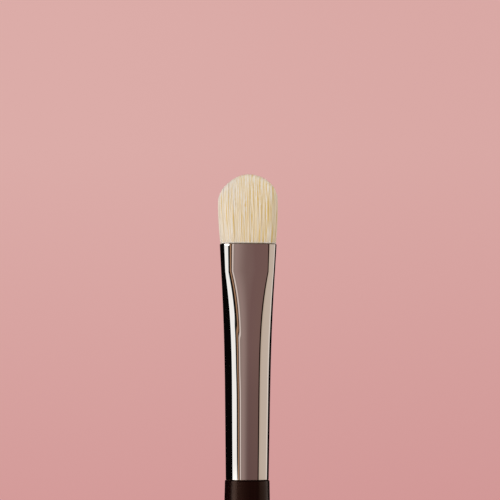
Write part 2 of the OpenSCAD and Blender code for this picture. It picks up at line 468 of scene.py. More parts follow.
@dataclass(frozen=True)
class EspressoLacquer(Finish):
    """Dark satin lacquer over turned wood, rubbed a little at the butt."""

    name: str = "espresso_lacquer"
    colour: Colour = (0.0036, 0.0005, 0.0004)
    roughness: float = 0.24
    relief: Pair = (0.12, 0.02 * MM)
    grain: Grain = Grain(per_metre=2300.0, stretch=26.0, contrast=2.4)
    marks: Smudges = Smudges(per_metre=90.0, bare=0.55)
    specks: Dust = Dust(per_metre=900.0, share=0.035)
    butt_wear: EdgeWear = EdgeWear(height=0.3 * MM, reach=0.8 * MM, raggedness=2.4)
    grain_colour: Colour = (0.007, 0.0013, 0.001)
    sheen_tint: Colour = (1.0, 0.62, 0.48)
    sheen_level: float = 0.32
    rubbed_colour: Colour = (0.085, 0.042, 0.028)
    rubbed_share: float = 0.55
    mark_gloss: float = 0.07
    rubbed_gloss: float = 0.15
    speck_gloss: float = 0.25
    peel_per_metre: float = 1400.0
    grain_height: float = 0.35

    def material(self) -> Material:
        """Build the lacquer.

        Returns:
            The material.
        """
        paint = Paint(self)
        sheet = paint.sheet
        grain, marks = paint.effect(self.grain), paint.effect(self.marks)
        rub = sheet.times(paint.effect(self.butt_wear), self.rubbed_share)
        wood = sheet.blend(grain, self.colour, self.grain_colour)
        gloss = sheet.stack(self.roughness, (marks, self.mark_gloss), (rub, self.rubbed_gloss),
                            (paint.effect(self.specks), self.speck_gloss))
        values = {"Specular Tint": self.sheen_tint, "Specular IOR Level": self.sheen_level,
                  "Base Color": sheet.blend(rub, wood, self.rubbed_colour), "Roughness": gloss}
        orange_peel = sheet.noise(paint.own, self.peel_per_metre, 1.0)
        return paint.close(values, sheet.stack(orange_peel, (grain, self.grain_height)))


@dataclass(frozen=True)
class BareWood(Finish):
    """Pale close-grained wood, as it is left where no lacquer goes."""

    name: str = "bare_wood"
    colour: Colour = (0.52, 0.34, 0.19)
    roughness: float = 0.62
    relief: Pair = (0.3, 0.03 * MM)
    grain: Grain = Grain(per_metre=3000.0, stretch=22.0, contrast=2.2)
    grain_colour: Colour = (0.34, 0.19, 0.095)

    def material(self) -> Material:
        """Build the bare wood.

        Returns:
            The material.
        """
        paint = Paint(self)
        grain = paint.effect(self.grain)
        tint = paint.sheet.blend(grain, self.colour, self.grain_colour)
        return paint.close({"Base Color": tint}, grain)


@dataclass(frozen=True)
class PaleHair(Finish):
    """Ivory filaments: each has its own tone, and fine streaks run along it.

    Just above the rim a band of painted light makes them paler. Right at the rim a dark band
    stands for glue soaked into them and for painted shade under the lip. Both bands are heights
    above the rim: where the band starts to show, and where it is full.
    """

    name: str = "pale_hair"
    colour: Colour = (0.91, 0.84, 0.757)
    roughness: float = 0.46
    relief: Pair = (0.15, 0.008 * MM)
    streaks: Grain = Grain(per_metre=5200.0, stretch=24.0, contrast=2.0)
    streak_tone: float = 0.35
    streak_gloss: float = 0.16
    tan_colour: Colour = (0.78, 0.555, 0.19)
    # Painted light: a paler band of hair just above the rim.
    painted_light_band: Pair = (0.28 * MM, 0.12 * MM)
    painted_light_tone: float = -0.5
    # Glue soaked into the hair at the rim, made darker as painted shade under the lip.
    glue_and_shade_band: Pair = (0.07 * MM, 0.02 * MM)
    glue_and_shade_colour: Colour = (0.09, 0.06, 0.035)
    sheen_level: float = 0.25
    tone_name: str = "tone"

    def material(self) -> Material:
        """Build the hair.

        Returns:
            The material.
        """
        paint = Paint(self)
        sheet = paint.sheet
        tone = sheet.add("Attribute", attribute_name=self.tone_name).outputs["Fac"]
        streak = paint.effect(self.streaks)
        height = sheet.add("SeparateXYZ", {0: paint.own}).outputs["Z"]
        painted_light, glue_and_shade = [sheet.range(height, FERRULE_RIM + start, FERRULE_RIM + full)
                          for start, full in (self.painted_light_band, self.glue_and_shade_band)]
        swing = sheet.math("SUBTRACT", streak, NOISE_MIDDLE)
        # The painted light band lowers the tone, so the hair there turns paler.
        shade = sheet.stack(tone, (swing, self.streak_tone), (painted_light, self.painted_light_tone))
        tint = sheet.blend(sheet.add("Clamp", {0: shade}).outputs[0], self.colour, self.tan_colour)
        gloss = sheet.stack(self.roughness - self.streak_gloss / 2, (streak, self.streak_gloss))
        # Right at the rim the colour turns dark: glue, and painted shade under the lip.
        values = {"Specular IOR Level": self.sheen_level, "Roughness": gloss,
                  "Base Color": sheet.blend(glue_and_shade, tint, self.glue_and_shade_colour)}
        return paint.close(values, streak)


@dataclass(frozen=True)
class BondedRoot(Finish):
    """Hair ends soaked with clear glue into one block."""

    name: str = "bonded_root"
    colour: Colour = (0.66, 0.53, 0.35)
    roughness: float = 0.34
    relief: Pair = (0.5, 0.03 * MM)
    streaks: Grain = Grain(per_metre=8000.0, stretch=30.0, contrast=3.0)
    marks: Smudges = Smudges(per_metre=400.0, bare=0.5)
    dark_colour: Colour = (0.44, 0.30, 0.16)
    mark_gloss: float = 0.2

    def material(self) -> Material:
        """Build the bonded hair.

        Returns:
            The material.
        """
        paint = Paint(self)
        streak = paint.effect(self.streaks)
        gloss = paint.sheet.stack(self.roughness, (paint.effect(self.marks), self.mark_gloss))
        tint = paint.sheet.blend(streak, self.colour, self.dark_colour)
        return paint.close({"Base Color": tint, "Roughness": gloss}, streak)


@dataclass(frozen=True)
class WaxedThread(Finish):
    """Off-white plied thread with a little wax."""

    name: str = "waxed_thread"
    colour: Colour = (0.80, 0.74, 0.62)
    roughness: float = 0.58
    relief: Pair = (0.6, 0.03 * MM)
    fuzz: Smudges = Smudges(per_metre=3000.0, bare=0.5)
    fuzz_gloss: float = 0.2
    # Painted shade in the grooves between the plies.
    shade_colour: Colour = (0.52, 0.44, 0.32)
    shade_share: float = 0.7
    plies_per_metre: float = 3300.0
    ply_slant: float = 70.0

    def material(self) -> Material:
        """Build the thread, with its plies as slanted ridges.

        Returns:
            The material.
        """
        paint = Paint(self)
        sheet = paint.sheet
        x, y, z = sheet.add("SeparateXYZ", {0: paint.own}).outputs
        round_it = sheet.times(sheet.math("ARCTAN2", y, x), self.ply_slant)
        slant = sheet.stack(round_it, (z, 2 * math.pi * self.plies_per_metre))
        ply = sheet.math("MULTIPLY_ADD", sheet.math("SINE", slant), 0.5, 0.5)
        # Painted shade: the grooves between the plies are darker.
        shade = sheet.times(sheet.math("SUBTRACT", 1.0, ply), self.shade_share)
        gloss = sheet.stack(self.roughness, (paint.effect(self.fuzz), self.fuzz_gloss))
        tint = sheet.blend(shade, self.colour, self.shade_colour)
        return paint.close({"Base Color": tint, "Roughness": gloss}, ply)


@dataclass(frozen=True)
class SetGlue(Finish):
    """Set resin or glue: tinted, glossy, clouded in places and with small bubbles."""

    relief: Pair = (0.5, 0.02 * MM)
    clouds: Smudges = Smudges(per_metre=260.0, bare=0.5)
    bubbles: Dust = Dust(per_metre=1600.0, share=0.3)
    cloud_colour: Colour = (0.80, 0.66, 0.42)
    cloud_share: float = 0.6
    cloud_gloss: float = 0.18

    def material(self) -> Material:
        """Build the set glue.

        Returns:
            The material.
        """
        paint = Paint(self)
        sheet = paint.sheet
        cloud, bubbles = paint.effect(self.clouds), paint.effect(self.bubbles)
        pale = sheet.math("MAXIMUM", sheet.times(cloud, self.cloud_share), bubbles)
        gloss = sheet.stack(self.roughness, (cloud, self.cloud_gloss))
        tint = sheet.blend(pale, self.colour, self.cloud_colour)
        return paint.close({"Base Color": tint, "Roughness": gloss}, bubbles)


# Mesh tools


class Slot(Enum):
    """The record's finish slots; the new pieces here are given none of them."""

    HAIR = "hair"
    THREAD = "thread"
    METAL = "ferrule_metal"
    WOOD = "lacquered_wood"


def make_object(name: str, data: bpy.types.ID) -> Object:
    """Make an object of a mesh, lamp or camera and put it into the scene.

    Args:
        name: The object's name.
        data: The mesh, lamp or camera.

    Returns:
        The new object.
    """
    made = bpy.data.objects.new(name, data)
    bpy.context.scene.collection.objects.link(made)
    return made


def make_piece(name: str, mesh: Mesh, nodes: Sequence[str],
               materials: Sequence[Material]) -> Object:
    """Put a mesh into the scene as a piece of the brush.

    Args:
        name: The piece's name.
        mesh: Its mesh, in place.
        nodes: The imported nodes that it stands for.
        materials: Its materials, in the order of the mesh's material numbers.

    Returns:
        The new object, riding on the brush.
    """
    piece = make_object(name, mesh)
    for material in materials:
        mesh.materials.append(material)
    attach(piece, "root")
    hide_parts(*nodes)
    LOG.info("%s: %d faces", name, len(mesh.polygons))
    return piece


def loft(name: str, rings: Sequence[Array], joined: bool, sharp_angle: float = 40.0,
         finish_of_ring: Optional[Sequence[int]] = None) -> Mesh:
    """Skin a stack of rings that all have the same number of points.

    Args:
        name: The mesh's name.
        rings: The rings in order.
        joined: Whether the last ring joins the first. Otherwise both ends are capped.
        sharp_angle: Faces that meet at more than this many degrees keep a crisp edge.
        finish_of_ring: The material number of the band that starts at each ring.

    Returns:
        The mesh, smooth and with its faces turned outwards.
    """
    finishes = finish_of_ring or [0] * len(rings)
    mesh = bpy.data.meshes.new(name)
    shape = bmesh.new()
    points = [[shape.verts.new(p) for p in ring] for ring in rings]
    for k, low in enumerate(points if joined else points[:-1]):
        high = points[(k + 1) % len(points)]
        for i, corner in enumerate(low):
            n = (i + 1) % len(low)
            face = shape.faces.new((corner, low[n], high[n], high[i]))
            face.material_index = finishes[k]
    if not joined:
        for end in (0, -1):
            shape.faces.new(points[end]).material_index = finishes[end]
    bmesh.ops.recalc_face_normals(shape, faces=shape.faces)
    for face in shape.faces:
        face.smooth = True
    shape.to_mesh(mesh)
    shape.free()
    mesh.set_sharp_from_angle(angle=math.radians(sharp_angle))
    return mesh


# The pressed tube


@dataclass(frozen=True)
class PressedTube:
    """The ferrule's section at any depth, which the hair and the thread follow too."""

    length: float = 39.2 * MM
    mouth_w: float = 9.53 * MM
    mouth_t: float = 6.0 * MM
    mouth_round_d: float = 8.25 * MM
    lower_d: float = 7.15 * MM
    land_len: float = 4.75 * MM
    land_w: float = 9.0 * MM
    blend_len: float = 21.3 * MM
    mouth_squareness: float = 2.4
    land_squareness: float = 2.7
    wall: float = 0.3 * MM
    width_fade: float = 2.4
    thickness_fade: float = 2.9
    squareness_fade: float = 6.0
    trace_steps: int = 1200

    @property
    def rim_z(self) -> float:
        """The rim's height above the brush's foot."""
        return FERRULE_FOOT + self.length

    def tube_r(self, depth: float) -> float:
        """Return the unpressed tube's radius at a depth."""
        return mix(self.mouth_round_d, self.lower_d, depth / self.length) / 2

    def left_of_press(self, depth: float) -> float:
        """Return how much of the press's effect is left at a depth, 1 to 0."""
        return max(0.0, 1 - (depth - self.land_len) / self.blend_len)

    def half_w(self, depth: float) -> float:
        """Return half the width at a depth.

        Args:
            depth: The depth.

        Returns:
            Half the width of the outer face.
        """
        if depth <= self.land_len:
            return mix(self.mouth_w, self.land_w, depth / self.land_len) / 2
        spare = self.land_w / 2 - self.tube_r(self.land_len)
        return self.tube_r(depth) + spare * self.left_of_press(depth) ** self.width_fade

    def half_t(self, depth: float) -> float:
        """Return half the thickness at a depth.

        Args:
            depth: The depth.

        Returns:
            Half the thickness of the outer face.
        """
        if depth <= self.land_len:
            return self.mouth_t / 2
        pressed = self.tube_r(self.land_len) - self.mouth_t / 2
        return self.tube_r(depth) - pressed * self.left_of_press(depth) ** self.thickness_fade

    def squareness(self, depth: float) -> float:
        """Return the section's squareness at a depth.

        Args:
            depth: The depth.

        Returns:
            The power of the rounded section, where 2 is an ellipse.
        """
        if depth <= self.land_len:
            return mix(self.mouth_squareness, self.land_squareness, depth / self.land_len)
        left = self.left_of_press(depth)
        return 2 + (self.land_squareness - 2) * left ** self.squareness_fade

    def ring(self, depth: float, inset: float, sides: int) -> Array:
        """Make one ring of the section, with points evenly spaced along it.

        Args:
            depth: The ring's depth.
            inset: How far it lies inside the outer face.
            sides: How many points it has, a multiple of 4.

        Returns:
            The points, counter-clockwise from +X, one row each.
        """
        power = 2 / self.squareness(depth)
        a = np.linspace(0, math.pi / 2, self.trace_steps + 1)
        x = (self.half_w(depth) - inset) * np.cos(a).clip(0) ** power
        y = (self.half_t(depth) - inset) * np.sin(a).clip(0) ** power
        run = np.concatenate([[0], np.cumsum(np.hypot(np.diff(x), np.diff(y)))])
        even = np.linspace(0, run[-1], sides // 4 + 1)
        qx, qy = np.interp(even, run, x)[:-1], np.interp(even, run, y)[:-1]
        rx, ry = np.interp(even, run, x)[:0:-1], np.interp(even, run, y)[:0:-1]
        xs = np.concatenate([qx, -rx, -qx, rx])
        ys = np.concatenate([qy, ry, -qy, -ry])
        return np.column_stack([xs, ys, np.full(len(xs), self.rim_z - depth)])


@dataclass
class Ferrule:
    """The polished metal tube with its half-round lip and its pressed land."""

    tube: PressedTube = PressedTube()
    finish: PolishedNickel = PolishedNickel()
    sides: int = 256
    lip_steps: int = 12
    foot_round: float = 0.06 * MM
    kink_reach: float = 0.5 * MM
    ring_counts: tuple[int, ...] = (9, 15, 60, 12)
    ring_spread: float = 1.25
    upper_depth: float = 1.5 * MM
    lower_depths: tuple[float, ...] = (7 * MM, 10 * MM, 14 * MM, 18 * MM, 22 * MM, 26 * MM)

    def depths(self) -> list[float]:
        """Return the outer rings' depths, close together round the land's lower edge.

        Returns:
            The depths from the lip down to the foot.
        """
        land, blend, reach = self.tube.land_len, self.tube.blend_len, self.kink_reach
        at_land, at_kink, at_blend, at_foot = self.ring_counts
        above = np.linspace(self.tube.wall / 2, land - reach, at_land)
        kink = np.linspace(land - reach, land + reach, at_kink)[1:]
        spread = np.linspace(0, 1, at_blend)[1:] ** self.ring_spread
        below = land + reach + (blend - reach) * spread
        foot = np.linspace(land + blend, self.tube.length - self.foot_round, at_foot)[1:]
        return [float(d) for d in np.concatenate([above, kink, below, foot])]

    def build(self) -> Object:
        """Build the ferrule as one closed shell.

        Returns:
            The ferrule.
        """
        tube, lip = self.tube, self.tube.wall / 2
        outer = [tube.ring(d, 0.0, self.sides) for d in reversed(self.depths())]
        turn = [math.pi * k / self.lip_steps for k in range(1, self.lip_steps)]
        crest = [tube.ring(lip * (1 - math.sin(a)), lip * (1 - math.cos(a)), self.sides)
                 for a in turn]
        inner_depths = [lip, self.upper_depth, tube.land_len, *self.lower_depths,
                        tube.length - self.foot_round]
        inner = [tube.ring(d, tube.wall, self.sides) for d in inner_depths]
        r = self.foot_round
        foot = [tube.ring(tube.length, tube.wall - r, self.sides),
                tube.ring(tube.length, r, self.sides)]
        mesh = loft("ferrule_shell", outer + crest + inner + foot, joined=True)
        return make_piece("ferrule_shell", mesh, ["ferrule"], [self.finish.material()])


# The handle


@dataclass
class Handle:
    """The turned handle: a rounded butt, a slim swelling body, a shoulder and a hidden tenon."""

    length: float = FERRULE_FOOT
    neck_d: float = 7.43 * MM
    shoulder_r: float = 0.25 * MM
    grip_d: float = 8.5 * MM
    grip_len: float = 10 * MM
    grip_drop: float = 39.5 * MM
    butt_d: float = 4.4 * MM
    butt_h: float = 1.8 * MM
    butt_flat_d: float = 2.0 * MM
    tenon_len: float = 15 * MM
    tenon_d: float = 6.29 * MM
    tenon_bevel: float = 0.4 * MM
    seat_gap: float = 0.03 * MM
    sides: int = 160
    curve_steps: int = 44
    butt_steps: int = 10
    shoulder_steps: int = 6
    lacquer: EspressoLacquer = EspressoLacquer()
    wood: BareWood = BareWood()

    def swell(self, r_a: float, z_a: float, r_b: float, z_b: float) -> list[Pair]:
        """Return a quarter wave from a first radius to a second, flat at the second."""
        steps = [k / self.curve_steps for k in range(self.curve_steps + 1)]
        return [(mix(r_a, r_b, math.sin(math.pi / 2 * s)), mix(z_a, z_b, s)) for s in steps]

    def profile(self) -> tuple[list[Pair], int]:
        """Trace the turned outline from the butt's flat up to the tenon's end.

        Returns:
            Radius and height of each point, and the number of the point where lacquer ends.
        """
        grip_top = self.length - self.grip_drop
        grip_bottom = grip_top - self.grip_len
        quarter = [math.pi / 2 * k / self.butt_steps for k in range(self.butt_steps + 1)]
        butt = [(mix(self.butt_flat_d, self.butt_d, math.sin(a)) / 2,
                 self.butt_h * (1 - math.cos(a))) for a in quarter]
        lower = self.swell(self.butt_d / 2, self.butt_h, self.grip_d / 2, grip_bottom)[1:]
        shoulder_z = self.length - self.seat_gap - self.shoulder_r
        upper = self.swell(self.neck_d / 2, shoulder_z, self.grip_d / 2, grip_top)[::-1]
        quarter = [math.pi / 2 * k / self.shoulder_steps
                   for k in range(1, self.shoulder_steps + 1)]
        shoulder = [(self.neck_d / 2 - self.shoulder_r * (1 - math.cos(a)),
                     shoulder_z + self.shoulder_r * math.sin(a)) for a in quarter]
        r, top = self.tenon_d / 2, self.length + self.tenon_len
        tenon = [(r, self.length - self.seat_gap), (r, mix(self.length, top, 0.5)),
                 (r, top - self.tenon_bevel), (r - self.tenon_bevel, top)]
        lacquered = butt + lower + upper + shoulder
        return lacquered + tenon, len(lacquered) - 1

    def build(self) -> Object:
        """Build the handle as one turned body with a lacquered and a bare part.

        Returns:
            The handle.
        """
        outline, last = self.profile()
        turn = np.linspace(0, 2 * math.pi, self.sides, endpoint=False)
        rings = [np.column_stack([r * np.cos(turn), r * np.sin(turn), np.full(self.sides, z)])
                 for r, z in outline]
        parts = [0 if k < last else 1 for k in range(len(rings))]
        mesh = loft("handle_body", rings, joined=False, finish_of_ring=parts)
        return make_piece("handle_body", mesh, ["handle"],
                          [self.lacquer.material(), self.wood.material()])


# The hair


@dataclass(frozen=True)
class HairTones:
    """How tan the filaments are, where 0 is ivory and 1 is tan.

    The base is what most have. The others are added: painted shade, as more tan, deep inside
    the bundle; painted light towards its left; painted shade towards its right; painted light
    at its very right edge; at the tips; and by chance for each clump and filament.
    Streaks have a swing of the least value and what chance adds at most, and so many waves
    along the hair; they are partly the hair's own tone, partly painted shade and painted
    highlight. Their level tilts from left to right.
    """

    base: float = 0.45
    # Painted shade deep in the bundle.
    inside: float = 0.18
    painted_inner_depth: float = 0.5
    # Painted light on the left side, and painted shade on the right.
    left: float = 0.33
    right: float = 0.06
    # Painted light at the very right edge.
    edge: float = -0.2
    painted_edge_start: float = 0.75
    tip: float = -0.25
    tip_power: int = 8
    of_clump: float = 0.02
    of_filament: float = 0.04
    streak_level: float = 0.95
    streak_tilt: float = 0.15
    streak_widths: tuple[int, ...] = (2, 2, 3)
    streak_swing: Pair = (0.16, 0.78)
    streak_power: float = 1.5
    streak_waves: Pair = (1.0, 1.5)
    streak_steady: float = 0.35


@dataclass(frozen=True)
class HairDisorder:
    """How far the filaments leave their even places.

    Filaments that cross others lie near the front and back, away from the bundle's edges.
    Each has a drift to one side, which starts at a share of the hair's length.
    """

    place: float = 0.7
    clump_place: float = 0.9
    shed: float = 0.6
    shed_power: int = 3
    tip: float = 0.13 * MM
    clump_pull: float = 0.15
    clump_pull_over: float = 0.5
    clump_slant: float = 0.05 * MM
    slant: float = 0.02 * MM
    slant_power: float = 1.5
    limit: float = 0.985
    crossing_share: float = 0.05
    crossing_depth: float = 0.7
    crossing_width: float = 0.6
    crossing_drift: Pair = (0.25 * MM, 0.7 * MM)
    crossing_start: Pair = (0.1, 0.5)
    crossing_over: float = 0.5
    stray_share: float = 0.006
    stray_reach: Pair = (0.1 * MM, 0.35 * MM)
    stray_power: int = 3
    girth: Pair = (0.86, 1.12)


@dataclass
class Tuft:
    """The bundle of filaments, gathered in small clumps, with its bonded root."""

    tube: PressedTube = PressedTube()
    finish: PaleHair = PaleHair()
    root_finish: BondedRoot = BondedRoot()
    tones: HairTones = HairTones()
    disorder: HairDisorder = HairDisorder()
    hair_len: float = 11.6 * MM
    belly_w: float = 10.0 * MM
    belly_t: float = 5.9 * MM
    belly_h: float = 6.3 * MM
    shoulder_h: float = 7.0 * MM
    tip_roundness: float = 1.93
    roundness_sway: float = 0.16
    tip_lift: float = 0.09 * MM
    wedge_drop: float = 3.0 * MM
    tip_t: float = 1.8 * MM
    tip_pull: float = 0.05
    belly_lean: float = 0.07 * MM
    rim_show: float = 0.1 * MM
    flare_h: float = 0.16 * MM
    tip_draw_power: float = 1.4
    tip_slack: float = 0.3 * MM
    sway_speed: float = 4.0
    edge_wedge: float = 0.02
    soft_power: float = 4.0
    least_reach: float = 1e-3
    root_len: float = 9.0 * MM
    root_top: float = 0.2 * MM
    root_bevel: float = 0.1 * MM
    root_depths: tuple[float, ...] = (3.2 * MM, 1.6 * MM)
    root_sides: int = 128
    foot_h: float = -0.26 * MM
    thread_depth: float = 5.6 * MM
    thread_len: float = 1.8 * MM
    thread_d: float = 0.3 * MM
    seat_gap: float = 0.03 * MM
    fit_gap: float = 0.03 * MM
    columns: int = 92
    rows: int = 48
    clump_columns: int = 38
    clump_rows: int = 16
    filament_r: float = 0.08 * MM
    wall_gap: float = 0.013 * MM
    tip_len: float = 0.05 * MM
    sections: int = 4
    seed: int = 5
    turn_seed: int = 12
    map_margin: float = 0.1
    map_foot: float = 0.02
    along: tuple[float, ...] = (0.0, 0.04, 0.2, 0.4, 0.58, 0.7, 0.79, 0.86, 0.92, 0.965, 0.992)
    girth: tuple[float, ...] = (1.0, 1.0, 1.0, 1.0, 1.0, 1.0, 1.0, 0.97, 0.9, 0.72, 0.34)

    def above_belly(self, h: Array) -> Array:
        """Return 0 at the widest place and 1 at the tip."""
        return np.clip((h - self.belly_h) / (self.hair_len - self.belly_h), 0, 1)

    def swelling(self, h: Array) -> Array:
        """Return 0 just above the rim and 1 at the widest place, flat there."""
        rise = np.clip((h - self.flare_h) / (self.belly_h - self.flare_h), 0, 1)
        return np.sin(math.pi / 2 * rise)

    def inside_rim(self, h: Array) -> Array:
        """Return how far hair still lies inside its outline near the rim, where it flares out."""
        rise = ease((h - self.foot_h) / (self.flare_h - self.foot_h))
        return (self.tube.wall + self.filament_r + self.wall_gap - self.rim_show) * (1 - rise)

    def half_w(self, h: Array) -> Array:
        """Return half the bundle's width.

        Args:
            h: Heights above the rim.

        Returns:
            Half the width at each.
        """
        mouth = self.tube.mouth_w / 2 - self.rim_show
        width = mouth + (self.belly_w / 2 - mouth) * self.swelling(h)
        return width * (1 - self.tip_pull * self.above_belly(h) ** 2) - self.inside_rim(h)

    def half_t(self, h: Array) -> Array:
        """Return half the bundle's thickness.

        Args:
            h: Heights above the rim.

        Returns:
            Half the thickness at each.
        """
        mouth = self.tube.mouth_t / 2 - self.rim_show
        thick = mouth + (self.belly_t / 2 - mouth) * self.swelling(h)
        draw = self.above_belly(h) ** self.tip_draw_power
        return thick + (self.tip_t / 2 - thick) * draw - self.inside_rim(h)

    def lean(self, h: Array) -> Array:
        """Return how far the bundle leans along X at each height."""
        return -self.belly_lean * np.clip(h / self.belly_h, 0, 1)

    def on_disc(self, u: Array, v: Array) -> tuple[Array, Array]:
        """Draw a square from -1 to 1 onto the mouth's rounded section of the same reach."""
        k = 1 - 0.5 ** (2 / self.tube.mouth_squareness)
        return u * np.sqrt(1 - k * v * v), v * np.sqrt(1 - k * u * u)

    def dome_h(self, cx: Array) -> Array:
        """Return how high the bundle's middle reaches at places across it.

        Args:
            cx: Places across the mouth, -1 to 1.

        Returns:
            The height above the rim at each.
        """
        power = self.tip_roundness + self.roundness_sway * np.tanh(self.sway_speed * cx)
        across = (1 - np.minimum(1, np.abs(cx)) ** power) ** (1 / power)
        return self.shoulder_h + (self.hair_len - self.shoulder_h) * across

    def drawn_in(self, cx: Array, cy: Array, h: Array) -> Array:
        """Return how far out filaments lie from front to back, drawn in where the tip rounds off.

        Args:
            cx: Their places across the mouth, -1 to 1.
            cy: Their places from front to back at the mouth, -1 to 1.
            h: Heights along each of them, one row each.

        Returns:
            The share of the bundle's half thickness, one row each.
        """
        left = np.maximum(self.dome_h(cx)[:, None] + self.tip_slack - h, 0)
        wedge = self.wedge_drop * (1 - (1 - self.edge_wedge) * cx * cx)
        limit = np.sqrt(left / wedge[:, None]) + self.least_reach
        out, power = np.abs(cy)[:, None] + TINY, -self.soft_power
        return np.sign(cy)[:, None] * (out ** power + limit ** power) ** (1 / power)

    def centre_lines(self) -> tuple[Array, Array, Array]:
        """Lay out every filament.

        Returns:
            The centre lines (filament, step, xyz), the tones at each step and the girths.
        """
        rng, off, tan = np.random.default_rng(self.seed), self.disorder, self.tones
        u, v = self._scatter(rng, self.columns, self.rows, off.place)
        cu, cv = self._scatter(rng, self.clump_columns, self.clump_rows, off.clump_place)
        cx, cy = self.on_disc(u, v)
        kx, ky = self.on_disc(cu, cv)
        reach = np.hypot((cx[:, None] - kx) * self.belly_w, (cy[:, None] - ky) * self.belly_t)
        clump = reach.argmin(1)
        count, clumps = len(u), len(cu)

        shed = off.shed * rng.uniform(0, 1, count) ** off.shed_power
        top = self.dome_h(cx) - shed * self.wedge_drop * cy * cy * (1 - cx * cx)
        top = top + self.tip_lift + rng.uniform(-off.tip, off.tip, count)
        h = self.foot_h + (top - self.foot_h)[:, None] * np.array(self.along)
        rise = np.clip(h / self.hair_len, 0, 1)

        x = cx[:, None] * self.half_w(h)
        y = self.drawn_in(cx, cy, h) * self.half_t(h)
        pull = rng.uniform(0.0, off.clump_pull, clumps)[clump][:, None]
        pull = pull * ease(rise / off.clump_pull_over)
        x += pull * (kx[clump][:, None] * self.half_w(h) - x)
        slant = rng.normal(0, off.clump_slant, clumps)[clump] + rng.normal(0, off.slant, count)
        x += slant[:, None] * rise ** off.slant_power

        crossing = rng.random(count) < off.crossing_share
        crossing &= (np.abs(v) > off.crossing_depth) & (np.abs(cx) < off.crossing_width)
        drift = rng.choice([-1, 1], count) * rng.uniform(*off.crossing_drift, count)
        start = rng.uniform(*off.crossing_start, count)[:, None]
        x += np.where(crossing, drift, 0)[:, None] * ease((rise - start) / off.crossing_over)

        x, y = self._keep_inside(x, y, h, np.where(crossing, 1.0, off.limit)[:, None])
        stray = (rng.random(count) < off.stray_share) & (cx > 0)
        astray = np.where(stray, rng.uniform(*off.stray_reach, count), 0)
        x += astray[:, None] * rise ** off.stray_power
        lines = np.stack([x + self.lean(h), y, self.tube.rim_z + h], -1)

        # Painted shade: filaments deep in the bundle are made more tan.
        depth = 1 - np.maximum(np.abs(u), np.abs(v))
        tone = tan.base + tan.inside * ease(depth / tan.painted_inner_depth)
        # Painted light on the left side, painted shade towards the right.
        tone += tan.left * np.minimum(cx, 0) + tan.right * np.maximum(cx, 0)
        # Painted light at the very right edge.
        tone += tan.edge * ease((cx - tan.painted_edge_start) / (1 - tan.painted_edge_start))
        tone += rng.normal(0, tan.of_clump, clumps)[clump] + rng.normal(0, tan.of_filament, count)
        # Streaks: the hair's own tone mixed with painted shade and painted highlight.
        streaks = self._streaks(rng, u, v, rise) * (tan.streak_level + tan.streak_tilt * cx)[:, None]
        tones = tone[:, None] + streaks + tan.tip * np.array(self.along) ** tan.tip_power
        girth = self.filament_r * rng.uniform(*off.girth, count)
        return lines, np.clip(tones, 0, 1), girth

    def _streaks(self, rng: np.random.Generator, u: Array, v: Array, rise: Array) -> Array:
        """Make light and dark streaks in pairs of one width, which come and go along the hair.

        A streak is a few columns of filaments wide at the front and back, and a few rows at
        the edges. The two streaks of a pair cancel out, so that no broad patch gets darker. The
        streaks are partly the hair's own tone and partly painted shade between strands and painted
        highlight on them; where they come and go along a strand, they paint the shade of it
        dipping among its neighbours.

        Args:
            rng: Where the chances come from.
            u: The filaments' places from left to right, -1 to 1.
            v: Their places from front to back, -1 to 1.
            rise: Heights along each of them, 0 to 1, one row each.

        Returns:
            What the streaks add to each filament's tone, one row each.
        """
        column, row = np.arange(len(u)) % self.columns, np.arange(len(u)) // self.columns
        side = self.columns + row + np.where(u < 0, self.rows, 0)
        place = np.where(np.abs(u) > np.abs(v), side, column)
        pairs, tan = (self.columns + 2 * self.rows) // 4, self.tones
        edges = np.cumsum(np.repeat(rng.choice(tan.streak_widths, pairs), 2))
        at = np.searchsorted(edges, place, side="right")
        least, more = tan.streak_swing
        swing = np.repeat(least + more * rng.random(pairs) ** tan.streak_power, 2)
        swing *= np.where(np.arange(2 * pairs) % 2, 1, -1)
        waves = np.repeat(rng.uniform(*tan.streak_waves, pairs), 2)
        offset = np.repeat(rng.uniform(0, 2 * math.pi, pairs), 2)
        wave = np.cos(2 * math.pi * waves[at][:, None] * rise + offset[at][:, None])
        return swing[at][:, None] * (tan.streak_steady + wave)

    @staticmethod
    def _scatter(rng: np.random.Generator, columns: int, rows: int,
                 jitter: float) -> tuple[Array, Array]:
        """Spread places over a square from -1 to 1, one in each cell of a grid.

        Args:
            rng: Where the chances come from.
            columns: Cells from left to right.
            rows: Cells from front to back.
            jitter: How much of its cell each place may use, 0 to 1.

        Returns:
            The places from left to right and from front to back.
        """
        gu, gv = np.meshgrid((np.arange(columns) + 0.5) / columns, (np.arange(rows) + 0.5) / rows)
        du = rng.uniform(-0.5, 0.5, gu.size) * jitter / columns
        dv = rng.uniform(-0.5, 0.5, gu.size) * jitter / rows
        return 2 * (gu.ravel() + du) - 1, 2 * (gv.ravel() + dv) - 1

    def _keep_inside(self, x: Array, y: Array, h: Array, limit: Array) -> tuple[Array, Array]:
        """Draw back what would leave the bundle's outline.

        Args:
            x: Places across the bundle.
            y: Places from front to back.
            h: Their heights.
            limit: The share of the outline that each may reach.

        Returns:
            The places, drawn back where they lay too far out.
        """
        power = self.tube.mouth_squareness
        out = np.abs(x / self.half_w(h)) ** power + np.abs(y / self.half_t(h)) ** power
        out = out ** (1 / power)
        back = np.minimum(1, limit / np.maximum(out, TINY))
        return x * back, y * back

